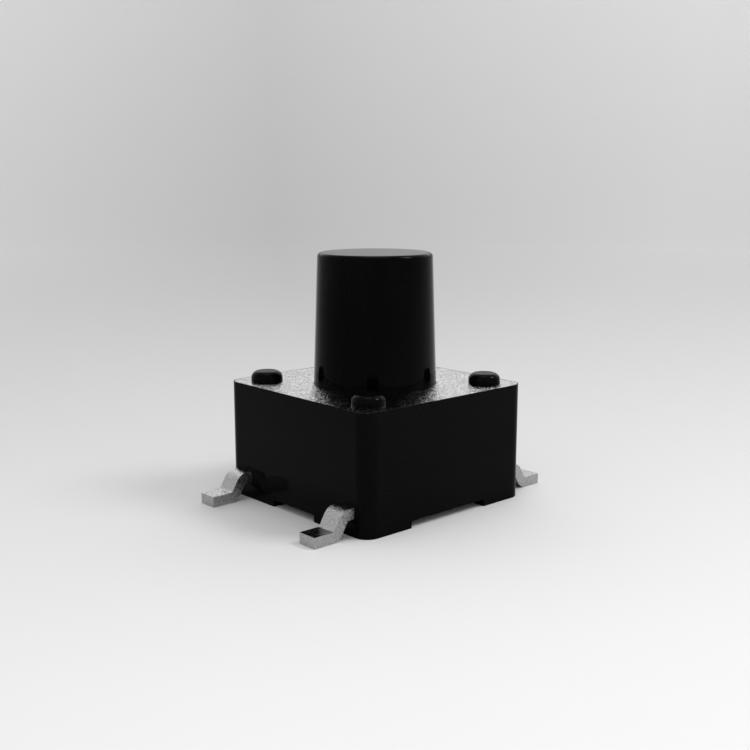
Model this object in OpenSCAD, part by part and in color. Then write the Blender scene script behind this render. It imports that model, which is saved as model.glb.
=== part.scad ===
// Surface-mount tactile push button switch with a tall round button.
// Millimetres, +Z up. The circuit board is the plane z = 0 and the button's axis is x = y = 0.
// The solder leads stick out along X.

/* [Housing] */
// Width of the square housing
body_w = 6.0; // [5.8:0.1:8.0]
// Height of the housing's rim above the board
body_h = 3.3; // [3.1:0.1:5.0]
// Radius of the upright corners
corner_r = 0.4; // [0.2:0.05:0.8]
// Width of the thin lip around the cover plate
lip_w = 0.02; // [0.02:0.01:0.2]
// Length along X of each corner pad that stands on the board
pad_x = 1.6; // [1.2:0.1:2.2]
// Length along Y of each corner pad that stands on the board
pad_y = 2.1; // [1.2:0.1:2.4]
// Height of the channels between the corner pads
channel_h = 0.2; // [0.1:0.05:0.35]

/* [Cavity] */
// Diameter of the bore that guides the button's flange
bore_d = 4.6; // [4.4:0.1:4.9]
// Height of the cavity's floor above the board
floor_h = 1.0; // [0.9:0.05:1.2]
// Depth of the narrower seat that holds the dome
seat_depth = 0.5; // [0.4:0.05:0.7]

/* [Cover plate] */
// Thickness of the sheet
plate_t = 0.25; // [0.15:0.05:0.3]
// Gap between the sheet's edge and the lip around it
plate_gap = 0.01; // [0.01:0.01:0.04]
// Gap between the button and its hole
hole_gap = 0.01; // [0.01:0.01:0.1]

/* [Staked posts] */
// Distance from the housing's sides to each post's centre
post_inset = 0.8; // [0.7:0.05:0.9]
// Diameter of a post's shank
post_d = 0.66; // [0.5:0.02:0.76]
// Gap between a shank and its hole in the cover plate
post_gap = 0.02; // [0.01:0.01:0.05]
// Diameter of a post's head
head_d = 0.9; // [0.84:0.02:1.1]
// Height of a post's head above the cover plate
head_h = 0.3; // [0.25:0.05:0.5]
// Rounding of a head's top edge
head_edge_r = 0.2; // [0.05:0.05:0.2]

/* [Button] */
// Height of the button's top above the board
button_h = 7.0; // [4.5:0.1:9.5]
// Diameter of the button level with the housing's rim
button_d = 3.5; // [2.9:0.1:3.7]
// Draft of the button's side, in degrees
button_draft = 2; // [1:0.5:3]
// Rounding of the button's top edge
button_edge_r = 0.12; // [0.05:0.01:0.4]
// Thickness of the flange that the cover plate holds back
flange_t = 0.4; // [0.3:0.05:0.6]
// Gap between the flange and the bore that guides it
flange_gap = 0.1; // [0.05:0.01:0.15]
// Diameter of the plunger under the flange
plunger_d = 2.4; // [1.6:0.1:3.0]
// Diameter of the nub that pushes the dome
nub_d = 1.0; // [0.6:0.1:1.4]
// Height of that nub
nub_h = 0.2; // [0.1:0.05:0.3]
// How far the button travels
travel = 0.25; // [0.15:0.05:0.35]

/* [Dome] */
// Diameter of the snap dome
dome_d = 4.0; // [3.6:0.1:4.2]
// Thickness of the snap dome
dome_t = 0.08; // [0.06:0.01:0.12]
// Gap between the dome's rim and its seat
dome_gap = 0.05; // [0.02:0.01:0.08]
// Gap between the resting dome and the nub
nub_gap = 0.02; // [0.01:0.01:0.05]

/* [Terminals] */
// Thickness of the terminal strip
lead_t = 0.3; // [0.2:0.05:0.35]
// Width of the terminal strip
lead_w = 0.6; // [0.4:0.05:0.8]
// Distance from the housing's side to each strip's centre
lead_inset = 0.75; // [0.7:0.05:1.0]
// Height of the strips' underside inside the housing
lead_h = 0.5; // [0.4:0.05:0.55]
// Distance from the housing's side to a lead's tip
lead_reach = 1.3; // [1.1:0.05:2.0]
// Straight length between the housing's side and the first bend
lead_stub = 0.15; // [0.05:0.05:0.3]
// Inner radius of both bends
bend_r = 0.1; // [0.05:0.05:0.2]
// Angle of both bends, in degrees
bend_angle = 60; // [45:5:80]
// Width of the tabs that reach under the dome
tab_w = 0.8; // [0.6:0.05:1.0]
// Diameter of the middle contact
mid_contact_d = 0.8; // [0.5:0.05:1.0]
// Diameter of each contact under the dome's rim
rim_contact_d = 0.6; // [0.4:0.05:0.8]

/* [Hidden] */
$fn = 96;
// Extra length of a cut that runs out of the solid
over = 1;
seat_top = floor_h + seat_depth;
plate_z = body_h - plate_t;
recess_w = body_w - 2 * lip_w;
recess_r = corner_r - lip_w;
plate_w = recess_w - 2 * plate_gap;
post_at = body_w / 2 - post_inset;
flange_d = bore_d - 2 * flange_gap;
// The dome's underside rises by the button's travel, so a full press just meets the contact.
dome_r_in = (pow(dome_d / 2, 2) + pow(travel, 2)) / (2 * travel);
dome_top = floor_h + travel + dome_t;
nub_z = dome_top + nub_gap;
flange_z = plate_z - flange_t;
strip_top = lead_h + lead_t;
side_x = body_w / 2;
strip_y = body_w / 2 - lead_inset;
bend_x = side_x + lead_stub;
bend_mid = 2 * bend_r + lead_t;
slope_l = (lead_h - bend_mid * (1 - cos(bend_angle))) / sin(bend_angle);
rim_contact_x = dome_d / 2 - rim_contact_d / 4;

// Radius of the button's tapered side at a height above the board, over the housing's rim
function side_r(z) = button_d / 2 + (body_h - z) * tan(button_draft);

module rounded_square(w, r) {
    square([w, w - 2 * r], center = true);
    square([w - 2 * r, w], center = true);
    for (x = [-1, 1], y = [-1, 1])
        translate([x, y] * (w / 2 - r)) circle(r);
}

// Places its children at the four posts.
module at_posts() {
    for (x = [-1, 1], y = [-1, 1]) translate([x, y] * post_at) children();
}

// Half outline of a post above the plate's seat, for turning about its axis
module post_profile() {
    square([post_d / 2, plate_t + head_h / 2]);
    translate([0, plate_t]) {
        square([head_d / 2, head_h - head_edge_r]);
        square([head_d / 2 - head_edge_r, head_h]);
        intersection() {
            translate([head_d / 2 - head_edge_r, head_h - head_edge_r]) circle(head_edge_r);
            square([head_d / 2, head_h]);
        }
    }
}

module staked_posts() {
    at_posts() {
        translate([0, 0, plate_z]) rotate_extrude() post_profile();
        translate([0, 0, strip_top]) cylinder(d = post_d, h = plate_z - strip_top);
    }
}

// Cross-shaped relief under the housing, which leaves the four corner pads
module underside_channels() {
    translate([0, 0, -over]) linear_extrude(channel_h + over) {
        square([body_w - 2 * pad_x, body_w + 2 * over], center = true);
        square([body_w + 2 * over, body_w - 2 * pad_y], center = true);
    }
}

// Stepped round cavity: a seat for the dome, then the bore that guides the flange
module cavity() {
    translate([0, 0, floor_h]) cylinder(d = dome_d + 2 * dome_gap, h = body_h);
    translate([0, 0, seat_top]) cylinder(d = bore_d, h = body_h);
}

module base_housing() {
    color("#161617") {
        difference() {
            linear_extrude(body_h) rounded_square(body_w, corner_r);
            underside_channels();
            translate([0, 0, plate_z]) linear_extrude(plate_t + over) rounded_square(recess_w, recess_r);
            cavity();
            centre_strip();
            rim_strip();
        }
        staked_posts();
    }
}

module cover_plate() {
    color("#c9cacc")
        translate([0, 0, plate_z]) linear_extrude(plate_t) difference() {
            rounded_square(plate_w, recess_r - plate_gap);
            circle(button_d / 2 + hole_gap);
            at_posts() circle(d = post_d + 2 * post_gap);
        }
}

// Half outline of the button: straight through the plate's hole, then tapered up to a rounded edge
module button_profile() {
    edge_x = side_r(button_h - button_edge_r) - button_edge_r / cos(button_draft);
    edge_z = button_h - button_edge_r;
    translate([edge_x, edge_z]) circle(button_edge_r);
    polygon([
        [0, plate_z], [button_d / 2, plate_z], [button_d / 2, body_h],
        [edge_x + button_edge_r * cos(button_draft), edge_z + button_edge_r * sin(button_draft)],
        [edge_x, button_h], [0, button_h]
    ]);
}

module push_button() {
    color("#131314") rotate_extrude() {
        button_profile();
        translate([0, flange_z]) square([flange_d / 2, flange_t]);
        translate([0, nub_z + nub_h]) square([plunger_d / 2, flange_z - nub_z - nub_h]);
        translate([0, nub_z]) square([nub_d / 2, nub_h]);
    }
}

module snap_dome() {
    color("#d8d4c8") intersection() {
        translate([0, 0, floor_h + travel - dome_r_in]) difference() {
            sphere(dome_r_in + dome_t);
            sphere(dome_r_in);
        }
        translate([0, 0, floor_h]) cylinder(d = dome_d, h = travel + 2 * dome_t);
    }
}

// A box along Y, centred on x, between two places on Y, within the strips' thickness
module tab(x, y0, y1) {
    translate([x - tab_w / 2, y0, lead_h]) cube([tab_w, y1 - y0, lead_t]);
}

// A raised round contact, flush with the cavity's floor
module contact(x, d) {
    translate([x, 0, lead_h]) cylinder(d = d, h = floor_h - lead_h);
}

// Straight strip across the housing at one side of the button
module strip(y) {
    translate([-bend_x, y - lead_w / 2, lead_h]) cube([2 * bend_x, lead_w, lead_t]);
}

module centre_strip() {
    strip(strip_y);
    tab(0, -mid_contact_d / 2, strip_y);
    contact(0, mid_contact_d);
}

module rim_strip() {
    strip(-strip_y);
    for (side = [-1, 1]) {
        tab(side * rim_contact_x, -strip_y, rim_contact_d / 2);
        contact(side * rim_contact_x, rim_contact_d);
    }
}

// A turn of the strip about the Z axis, starting at an angle from X
module bend(from) {
    rotate([0, 0, from]) rotate_extrude(angle = bend_angle)
        translate([bend_r, 0]) square([lead_t, lead_w]);
}

// Gull-wing lead on the +X side, drawn flat in X and Y with its width along Z, then stood up
module lead(y) {
    foot_x = bend_x + slope_l * cos(bend_angle) + bend_mid * sin(bend_angle);
    translate([0, y + lead_w / 2, 0]) rotate([90, 0, 0]) {
        translate([bend_x, lead_h - bend_r, 0]) {
            bend(90 - bend_angle);
            rotate([0, 0, -bend_angle]) translate([0, bend_r, 0]) cube([slope_l, lead_t, lead_w]);
        }
        translate([foot_x, bend_r + lead_t, 0]) bend(270 - bend_angle);
        translate([foot_x, 0, 0]) cube([side_x + lead_reach - foot_x, lead_t, lead_w]);
    }
}

module both_leads(y) {
    lead(y);
    mirror([1, 0, 0]) lead(y);
}

module centre_terminal() {
    color("#bfc0c2") {
        centre_strip();
        both_leads(strip_y);
    }
}

module rim_terminal() {
    color("#bfc0c2") {
        rim_strip();
        both_leads(-strip_y);
    }
}

base_housing();
cover_plate();
push_button();
snap_dome();
centre_terminal();
rim_terminal();
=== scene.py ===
"""Looks of a surface-mount tactile push button switch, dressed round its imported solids.

Every length is in metres, +Z is up, the circuit board is the plane z = 0 and the button's axis is
x = y = 0. Each sub-assembly is a class that builds or dresses its own pieces, and each finish is a
frozen dataclass that makes its own procedural material.
"""

import logging
import math
from collections.abc import Mapping
from dataclasses import dataclass, field
from enum import Enum
from typing import Any

import bmesh
import bpy
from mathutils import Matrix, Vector


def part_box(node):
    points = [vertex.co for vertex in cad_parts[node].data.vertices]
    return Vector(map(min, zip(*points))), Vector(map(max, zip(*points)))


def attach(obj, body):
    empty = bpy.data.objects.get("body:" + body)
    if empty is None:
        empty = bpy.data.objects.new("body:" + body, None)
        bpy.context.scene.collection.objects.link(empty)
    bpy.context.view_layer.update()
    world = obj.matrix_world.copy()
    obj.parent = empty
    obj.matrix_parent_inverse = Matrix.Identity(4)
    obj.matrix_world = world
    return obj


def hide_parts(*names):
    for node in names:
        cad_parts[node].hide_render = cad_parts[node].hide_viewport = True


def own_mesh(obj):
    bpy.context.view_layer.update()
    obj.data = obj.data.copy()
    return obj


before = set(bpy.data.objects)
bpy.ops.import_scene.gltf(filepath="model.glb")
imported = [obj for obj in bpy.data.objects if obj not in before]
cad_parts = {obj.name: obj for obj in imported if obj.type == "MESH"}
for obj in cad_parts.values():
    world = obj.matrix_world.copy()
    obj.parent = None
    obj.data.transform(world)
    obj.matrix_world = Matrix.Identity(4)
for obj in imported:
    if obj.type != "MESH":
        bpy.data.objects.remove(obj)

log = logging.getLogger("switch")
MM = 0.001
Socket = bpy.types.NodeSocket
Material = bpy.types.Material
Mesh = bpy.types.Mesh
Point = tuple[float, float, float]


class Body(str, Enum):
    """The two bodies that the pieces ride on."""

    HOUSING = "housing"
    BUTTON = "button"


class NodeGraph:
    """A material's or the world's node tree, built one node at a time."""

    def __init__(self, tree: bpy.types.NodeTree) -> None:
        """Empties a node tree and keeps it.

        Args:
            tree: The tree to build in.
        """
        self.tree = tree
        tree.nodes.clear()

    def add(self, kind: str, sockets: Mapping[Any, Any] | None = None, **settings: Any) -> bpy.types.Node:
        """Adds a node, sets its settings, and sets or links its input sockets.

        Args:
            kind: The node's Blender type name.
            sockets: Input socket names or numbers, each with a value or another node's output.
            **settings: Properties of the node itself, such as its operation.

        Returns:
            The new node.
        """
        node = self.tree.nodes.new(kind)
        for name, value in settings.items():
            setattr(node, name, value)
        for name, value in (sockets or {}).items():
            if isinstance(value, Socket):
                self.tree.links.new(value, node.inputs[name])
            else:
                node.inputs[name].default_value = value
        return node

    def place(self) -> Socket:
        """Returns the surface point in the part's own frame, in metres."""
        return self.add("ShaderNodeTexCoord").outputs["Object"]

    def math(self, operation: str, *values: Any) -> Socket:
        """Returns one result of a Math node.

        Args:
            operation: Blender's name of the operation.
            *values: Numbers or sockets, in order.

        Returns:
            The node's output socket.
        """
        return self.add("ShaderNodeMath", dict(enumerate(values)), operation=operation).outputs[0]

    def vector(self, operation: str, *values: Any) -> Socket:
        """Returns one result of a Vector Math node.

        Args:
            operation: Blender's name of the operation.
            *values: Vectors or sockets, in order.

        Returns:
            The node's output socket.
        """
        return self.add("ShaderNodeVectorMath", dict(enumerate(values)), operation=operation).outputs[0]

    def noise(self, size: float, detail: float = 3.0) -> Socket:
        """Returns a soft noise from 0 to 1.

        Args:
            size: Rough size of its spots, in metres.
            detail: How many finer layers lie on top.

        Returns:
            The noise's value.
        """
        sockets = {"Vector": self.place(), "Scale": 1 / size, "Detail": detail}
        return self.add("ShaderNodeTexNoise", sockets).outputs[0]

    def distance(self, point: Point) -> Socket:
        """Returns the distance of the surface point from a fixed point, in metres."""
        sockets = {0: self.place(), 1: point}
        return self.add("ShaderNodeVectorMath", sockets, operation="DISTANCE").outputs["Value"]

    def length(self, arrow: Socket) -> Socket:
        """Returns the length of a vector."""
        return self.add("ShaderNodeVectorMath", {0: arrow}, operation="LENGTH").outputs["Value"]

    def spread(self, value: Any, low: float, high: float) -> Socket:
        """Returns a value from 0 to 1 stretched over a range.

        Args:
            value: The value or socket.
            low: Result at 0.
            high: Result at 1.

        Returns:
            The stretched value.
        """
        return self.add("ShaderNodeMapRange", {"Value": value, "To Min": low, "To Max": high}).outputs[0]

    def vary(self, value: Any, middle: float, share: float) -> Socket:
        """Returns a number that varies by a share of itself to either side.

        Args:
            value: The value or socket, from 0 to 1, that drives it.
            middle: Result at a half.
            share: Share of the middle by which the result falls at 0 and rises at 1.

        Returns:
            The varied number.
        """
        return self.spread(value, middle * (1 - share), middle * (1 + share))

    def stretch(self, value: Any, low: float, high: float) -> Socket:
        """Returns a value between two limits stretched to 0 to 1.

        Args:
            value: The value or socket.
            low: The limit that gives 0.
            high: The limit that gives 1.

        Returns:
            The stretched value.
        """
        return self.add("ShaderNodeMapRange", {"Value": value, "From Min": low, "From Max": high}).outputs[0]

    def grey(self, value: Any) -> Socket:
        """Returns a neutral colour whose three channels are one value."""
        return self.add("ShaderNodeCombineColor", {0: value, 1: value, 2: value}).outputs[0]


def new_material(name: str) -> tuple[Material, NodeGraph]:
    """Makes an empty node material.

    Args:
        name: The material's name.

    Returns:
        The material and its graph.
    """
    material = bpy.data.materials.new(name)
    material.use_nodes = True
    return material, NodeGraph(material.node_tree)


@dataclass(frozen=True)
class MouldedPlastic:
    """Smooth black moulded plastic, with the faint orange-peel texture of a polished tool."""

    name: str
    shade: float
    roughness: float
    ior: float
    peel_size: float = 0.25 * MM
    peel_depth: float = 0.0006 * MM
    cloud_size: float = 1.1 * MM
    shade_spread: float = 0.2
    roughness_spread: float = 0.1

    def material(self) -> Material:
        """Makes the node material.

        Returns:
            The new material.
        """
        material, graph = new_material(self.name)
        cloud = graph.noise(self.cloud_size)
        peel = graph.noise(self.peel_size)
        bump = graph.add("ShaderNodeBump", {"Height": peel, "Distance": self.peel_depth})
        shader = graph.add(
            "ShaderNodeBsdfPrincipled",
            {
                "Base Color": graph.grey(graph.vary(cloud, self.shade, self.shade_spread)),
                "Roughness": graph.vary(cloud, self.roughness, self.roughness_spread),
                "IOR": self.ior,
                "Normal": bump.outputs[0],
            },
        )
        graph.add("ShaderNodeOutputMaterial", {"Surface": shader.outputs[0]})
        return material


@dataclass(frozen=True)
class GrainedMetal:
    """Bare or plated sheet metal whose matte grain leans and shades each small facet its own way.

    As rough metal does, it looks glossier at a glancing angle than flat on.
    """

    name: str
    shade: float
    roughness: float
    glancing_roughness: float
    grain_size: float
    grain_tilt: float
    grain_contrast: float
    gloss_spread: float = 0.3
    glance_power: float = 2.0

    def material(self) -> Material:
        """Makes the node material.

        Returns:
            The new material.
        """
        material, graph = new_material(self.name)
        cells = graph.add("ShaderNodeTexVoronoi", {"Vector": graph.place(), "Scale": 1 / self.grain_size})
        tilt = graph.vector("SUBTRACT", cells.outputs["Color"], (0.5, 0.5, 0.5))
        scaled = graph.add("ShaderNodeVectorMath", {0: tilt, "Scale": 2 * self.grain_tilt}, operation="SCALE")
        normal = graph.add("ShaderNodeNewGeometry").outputs["Normal"]
        facet = graph.vector("NORMALIZE", graph.vector("ADD", normal, scaled.outputs[0]))
        chance = graph.add("ShaderNodeTexWhiteNoise", {"Vector": cells.outputs["Position"]}).outputs["Value"]
        facing = graph.add("ShaderNodeLayerWeight", {"Blend": 0.5}).outputs["Facing"]
        glance = graph.math("POWER", facing, self.glance_power)
        roughness = graph.spread(glance, self.roughness, self.glancing_roughness)
        shader = graph.add(
            "ShaderNodeBsdfMetallic",
            {
                "Base Color": graph.grey(graph.vary(chance, self.shade, self.grain_contrast)),
                "Edge Tint": (1, 1, 1, 1),
                "Roughness": graph.math("MULTIPLY", roughness, graph.vary(chance, 1.0, self.gloss_spread)),
                "Normal": facet,
            },
            distribution="BECKMANN",
            fresnel_type="F82",
        )
        graph.add("ShaderNodeOutputMaterial", {"Surface": shader.outputs[0]})
        return material


@dataclass(frozen=True)
class StudioPaper:
    """Matte paper of the floor and backdrop.

    It is painted with light and shade: a painted pool of light makes it palest in front of the switch,
    painted shade makes it dullest on the floor behind it, and painted light makes it grow paler again
    outward and up the backdrop.
    """

    name: str = "studio_paper"
    # The paper's colour holds painted light and shade: these set the painted pool of light in front of the
    # switch, its fade, and the painted gradients outward and up the backdrop.
    near_shade: float = 0.724
    floor_shade: float = 0.387
    painted_light_at: Point = (-9.56 * MM, -14.8 * MM, 0)
    fade: float = 30.62 * MM
    fade_power: float = 1.961
    ramp_from: float = 5.77 * MM
    ramp_to: float = 110.88 * MM
    ramp_power: float = 1.16
    back_gain: float = 0.229
    side_gain: float = 0.373
    side_most: float = 0.45
    painted_shade_azimuth: float = 54.77
    rise_to: float = 40 * MM
    rise_power: float = 1.164
    rise_gain: float = 0.25
    fibre_size: float = 2.0 * MM
    fibre_contrast: float = 0.005

    def material(self) -> Material:
        """Makes the node material.

        Returns:
            The new material.
        """
        material, graph = new_material(self.name)
        # Painted pool of light: the paper is palest round a point in front of the switch and fades to
        # floor_shade with distance.
        share = graph.math("DIVIDE", graph.distance(self.painted_light_at), self.fade)
        pale = graph.math("DIVIDE", 1.0, graph.math("ADD", graph.math("POWER", share, self.fade_power), 1.0))
        near = graph.spread(pale, self.floor_shade, self.near_shade)
        # Painted light and shade: the paper grows paler outward from the axis, least straight behind the
        # switch and most to the sides.
        level = graph.vector("MULTIPLY", graph.place(), (1, 1, 0))
        outward = graph.stretch(graph.length(level), self.ramp_from, self.ramp_to)
        ramp = graph.math("POWER", outward, self.ramp_power)
        side = self.side_reach(graph, level)
        backdrop = graph.spread(side, self.back_gain, self.back_gain + self.side_gain)
        shade = graph.math("MULTIPLY_ADD", ramp, backdrop, near)
        # Painted light: the paper's colour grows paler up the backdrop.
        height = graph.add("ShaderNodeSeparateXYZ", {0: graph.place()}).outputs["Z"]
        rise = graph.math("POWER", graph.stretch(height, 0, self.rise_to), self.rise_power)
        risen = graph.math("MULTIPLY", shade, graph.math("MULTIPLY_ADD", rise, self.rise_gain, 1.0))
        fibre = graph.vary(graph.noise(self.fibre_size), 1.0, self.fibre_contrast)
        colour = graph.grey(graph.math("MULTIPLY", risen, fibre))
        shader = graph.add("ShaderNodeBsdfDiffuse", {"Color": colour})
        graph.add("ShaderNodeOutputMaterial", {"Surface": shader.outputs[0]})
        return material

    def side_reach(self, graph: NodeGraph, level: Socket) -> Socket:
        """Works out how far a point lies to either side of the direction where the backdrop's painted shade
        is deepest.

        Args:
            graph: The material's graph.
            level: The point, brought down to the floor.

        Returns:
            0 in the dullest direction, rising with the angle to it up to a limit.
        """
        around = math.radians(self.painted_shade_azimuth)
        painted_shade_way = (math.cos(around), math.sin(around), 0)
        sideways = graph.vector("CROSS_PRODUCT", graph.vector("NORMALIZE", level), painted_shade_way)
        return graph.math("MINIMUM", graph.length(sideways), self.side_most)


HOUSING_PLASTIC = MouldedPlastic("housing_plastic_look", shade=0.0017, roughness=0.06, ior=1.11)
BUTTON_PLASTIC = MouldedPlastic("button_plastic_look", shade=0.0010, roughness=0.06, ior=1.11)
COVER_STEEL = GrainedMetal(
    "cover_steel_look", shade=0.5, roughness=0.52, glancing_roughness=0.04,
    grain_size=0.021 * MM, grain_tilt=0.275, grain_contrast=0.22,
)
LEAD_PLATING = GrainedMetal(
    "lead_plating_look", shade=0.4, roughness=0.32, glancing_roughness=0.1,
    grain_size=0.017 * MM, grain_tilt=0.23, grain_contrast=0.2,
)
DOME_STEEL = GrainedMetal(
    "dome_steel_look", shade=0.7, roughness=0.3, glancing_roughness=0.15,
    grain_size=0.03 * MM, grain_tilt=0.05, grain_contrast=0.03,
)


def dress(node: str, finish: MouldedPlastic | GrainedMetal) -> None:
    """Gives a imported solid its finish, in every material slot.

    Args:
        node: Name of the solid.
        finish: The finish that makes the material.
    """
    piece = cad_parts[node]
    for place in piece.material_slots:
        place.material = finish.material()
    log.info("%s dressed in %s", node, finish.name)


@dataclass
class Housing:
    """The black moulding with its four staked posts and corner pads."""

    finish: MouldedPlastic = HOUSING_PLASTIC

    def build(self) -> None:
        """Dresses the moulding."""
        dress("base_housing", self.finish)


@dataclass
class CoverPlate:
    """The bare sheet that the posts hold down."""

    finish: GrainedMetal = COVER_STEEL

    def build(self) -> None:
        """Dresses the sheet."""
        dress("cover_plate", self.finish)


@dataclass
class PushButton:
    """The tall tapered button."""

    finish: MouldedPlastic = BUTTON_PLASTIC

    def build(self) -> None:
        """Dresses the button."""
        dress("push_button", self.finish)


@dataclass
class Terminals:
    """The two stamped strips with a gull-wing lead at each end."""

    finish: GrainedMetal = LEAD_PLATING

    def build(self) -> None:
        """Dresses both strips."""
        for node in ("centre_terminal", "rim_terminal"):
            dress(node, self.finish)


@dataclass
class SnapDome:
    """The domed spring disc under the button, built in its resting dome; it does not flatten as the button
    goes down.
    """

    finish: GrainedMetal = DOME_STEEL
    thickness: float = 0.08 * MM
    flattened: float = 0.28
    rings: int = 12
    segments: int = 72
    merge_distance: float = 0.0005 * MM

    def profile(self) -> list[Vector]:
        """Works out half of the disc's section, from the middle of its top round to its underside.

        Returns:
            Points in the XZ plane.
        """
        low, high = (Vector(corner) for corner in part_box("snap_dome"))
        rim, rise = high.x, high.z - low.z - self.thickness
        inner = (rim**2 + rise**2) / (2 * rise)
        centre = low.z + rise - inner
        radii = [rim * k / self.rings for k in range(self.rings + 1)]
        under = [Vector((r, 0, centre + math.sqrt(inner**2 - r**2))) for r in radii]
        outer = inner + self.thickness
        over = [Vector((r, 0, centre + math.sqrt(outer**2 - r**2))) for r in radii]
        return over + under[::-1]

    def mesh(self) -> Mesh:
        """Turns the section about the button's axis.

        Returns:
            The disc's mesh.
        """
        mesh = bpy.data.meshes.new("snap_dome_disc")
        form = bmesh.new()
        ring = [form.verts.new(point) for point in self.profile()]
        edges = [form.edges.new(pair) for pair in zip(ring, ring[1:])]
        bmesh.ops.spin(
            form, geom=ring + edges, cent=(0, 0, 0), axis=(0, 0, 1), angle=math.tau,
            steps=self.segments, use_merge=True,
        )
        bmesh.ops.remove_doubles(form, verts=form.verts, dist=self.merge_distance)
        bmesh.ops.recalc_face_normals(form, faces=form.faces)
        form.to_mesh(mesh)
        form.free()
        return mesh

    def build(self) -> None:
        """Builds the disc in the solid's place and ties it to the housing."""
        disc = bpy.data.objects.new("snap_dome_disc", self.mesh())
        bpy.context.scene.collection.objects.link(disc)
        disc.data.materials.append(self.finish.material())
        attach(disc, Body.HOUSING.value)
        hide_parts("snap_dome")
        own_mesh(disc)
        log.info("snap_dome_disc built")


@dataclass(frozen=True)
class SoftLamp:
    """Square soft lamp, hung in a given direction and turned to the switch."""

    name: str
    azimuth: float
    elevation: float
    distance: float
    width: float
    brightness: float

    def hang(self) -> None:
        """Hangs the lamp. Its brightness is that of its face, where white paper in full light is 1."""
        lamp = bpy.data.lights.new(self.name, "AREA")
        lamp.size = self.width
        lamp.energy = self.brightness * math.pi * self.width**2
        around, up = math.radians(self.azimuth), math.radians(self.elevation)
        direction = Vector((math.cos(around) * math.cos(up), math.sin(around) * math.cos(up), math.sin(up)))
        holder = bpy.data.objects.new(self.name, lamp)
        holder.location = direction * self.distance
        holder.rotation_euler = direction.to_track_quat("Z", "Y").to_euler()
        bpy.context.scene.collection.objects.link(holder)


OVERHEAD_LAMP = SoftLamp(
    "overhead_lamp", azimuth=-136, elevation=87, distance=80 * MM, width=36 * MM, brightness=2.5
)
SIDE_LAMP = SoftLamp(
    "side_lamp", azimuth=-48, elevation=50, distance=80 * MM, width=22 * MM, brightness=14.6
)


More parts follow.
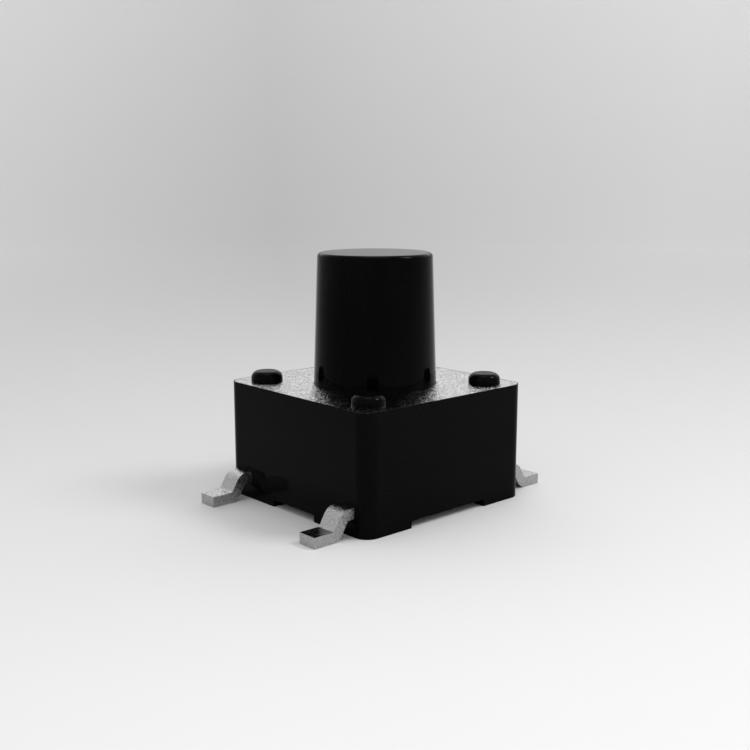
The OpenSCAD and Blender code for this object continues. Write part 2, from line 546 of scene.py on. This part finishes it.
@dataclass
class Studio:
    """Pale floor that curves up into a round backdrop, soft sky light and two soft lamps."""

    paper: StudioPaper = field(default_factory=StudioPaper)
    lamps: tuple[SoftLamp, ...] = (OVERHEAD_LAMP, SIDE_LAMP)
    floor_radius: float = 110 * MM
    cove_radius: float = 40 * MM
    wall_height: float = 45 * MM
    segments: int = 128
    cove_steps: int = 24
    sky: float = 0.72
    glow: float = 1.35
    glow_power: float = 2.0
    glow_azimuth: float = 42.0

    def profile(self) -> list[tuple[float, float]]:
        """Works out the section of the floor and backdrop.

        Returns:
            Distances from the axis, each with its height.
        """
        turn = [math.radians(90) * k / self.cove_steps for k in range(self.cove_steps + 1)]
        cove = [
            (self.floor_radius + self.cove_radius * math.sin(a), self.cove_radius * (1 - math.cos(a)))
            for a in turn
        ]
        return [*cove, (self.floor_radius + self.cove_radius, self.wall_height)]

    def mesh(self) -> Mesh:
        """Turns the section into the floor and its backdrop.

        Returns:
            The mesh, shaded smooth.
        """
        mesh = bpy.data.meshes.new("studio_floor")
        form = bmesh.new()
        middle = form.verts.new((0, 0, 0))
        turns = [math.tau * k / self.segments for k in range(self.segments)]
        rings = [
            [form.verts.new((radius * math.cos(a), radius * math.sin(a), height)) for a in turns]
            for radius, height in self.profile()
        ]
        for k in range(self.segments):
            after = (k + 1) % self.segments
            form.faces.new((middle, rings[0][k], rings[0][after]))
            for inner, outer in zip(rings, rings[1:]):
                form.faces.new((inner[k], outer[k], outer[after], inner[after]))
        form.to_mesh(mesh)
        form.free()
        mesh.shade_smooth()
        return mesh

    def build(self) -> None:
        """Builds the floor and backdrop, the sky and the lamps."""
        floor = bpy.data.objects.new("studio_floor", self.mesh())
        bpy.context.scene.collection.objects.link(floor)
        floor.data.materials.append(self.paper.material())
        self.light_sky()
        for lamp in self.lamps:
            lamp.hang()
        log.info("studio built")

    def light_sky(self) -> None:
        """Fills the world with a soft pale light, brightest behind the switch."""
        world = bpy.data.worlds.new("sky")
        world.use_nodes = True
        bpy.context.scene.world = world
        graph = NodeGraph(world.node_tree)
        around = math.radians(self.glow_azimuth)
        direction = graph.add("ShaderNodeTexCoord").outputs["Generated"]
        bright_way = (math.cos(around), math.sin(around), 0)
        toward = graph.add("ShaderNodeVectorMath", {0: direction, 1: bright_way}, operation="DOT_PRODUCT")
        nearness = graph.math("MAXIMUM", toward.outputs["Value"], 0.0)
        glow = graph.math("POWER", nearness, self.glow_power)
        shade = graph.math("MULTIPLY_ADD", glow, self.glow, self.sky)
        shader = graph.add("ShaderNodeBackground", {"Color": graph.grey(shade)})
        graph.add("ShaderNodeOutputWorld", {"Surface": shader.outputs[0]})


@dataclass
class PhotoCamera:
    """The camera, set as the photograph's was."""

    azimuth: float = -41.915
    elevation: float = 10.740
    distance: float = 29.89 * MM
    target_height: float = 3.496 * MM
    lens: float = 50.165
    sensor: float = 36.0
    nearest: float = 1 * MM
    farthest: float = 2000 * MM

    def build(self) -> None:
        """Places the camera and makes it the scene's."""
        data = bpy.data.cameras.new("camera")
        data.lens = self.lens
        data.sensor_width = self.sensor
        data.sensor_fit = "HORIZONTAL"
        data.clip_start = self.nearest
        data.clip_end = self.farthest
        around, up = math.radians(self.azimuth), math.radians(self.elevation)
        back = Vector((math.sin(around) * math.cos(up), -math.cos(around) * math.cos(up), math.sin(up)))
        camera = bpy.data.objects.new("camera", data)
        camera.location = Vector((0, 0, self.target_height)) + back * self.distance
        camera.rotation_euler = back.to_track_quat("Z", "Y").to_euler()
        bpy.context.scene.collection.objects.link(camera)
        bpy.context.scene.camera = camera
        log.info("camera placed")


def main() -> None:
    """Builds every sub-assembly in order."""
    logging.basicConfig(level=logging.INFO, format="%(name)s: %(message)s")
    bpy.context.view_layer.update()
    bpy.context.scene.view_settings.view_transform = "Standard"
    for part in (PhotoCamera(), Studio(), Housing(), CoverPlate(), PushButton(), Terminals(), SnapDome()):
        part.build()


if __name__ == "__main__":
    main()
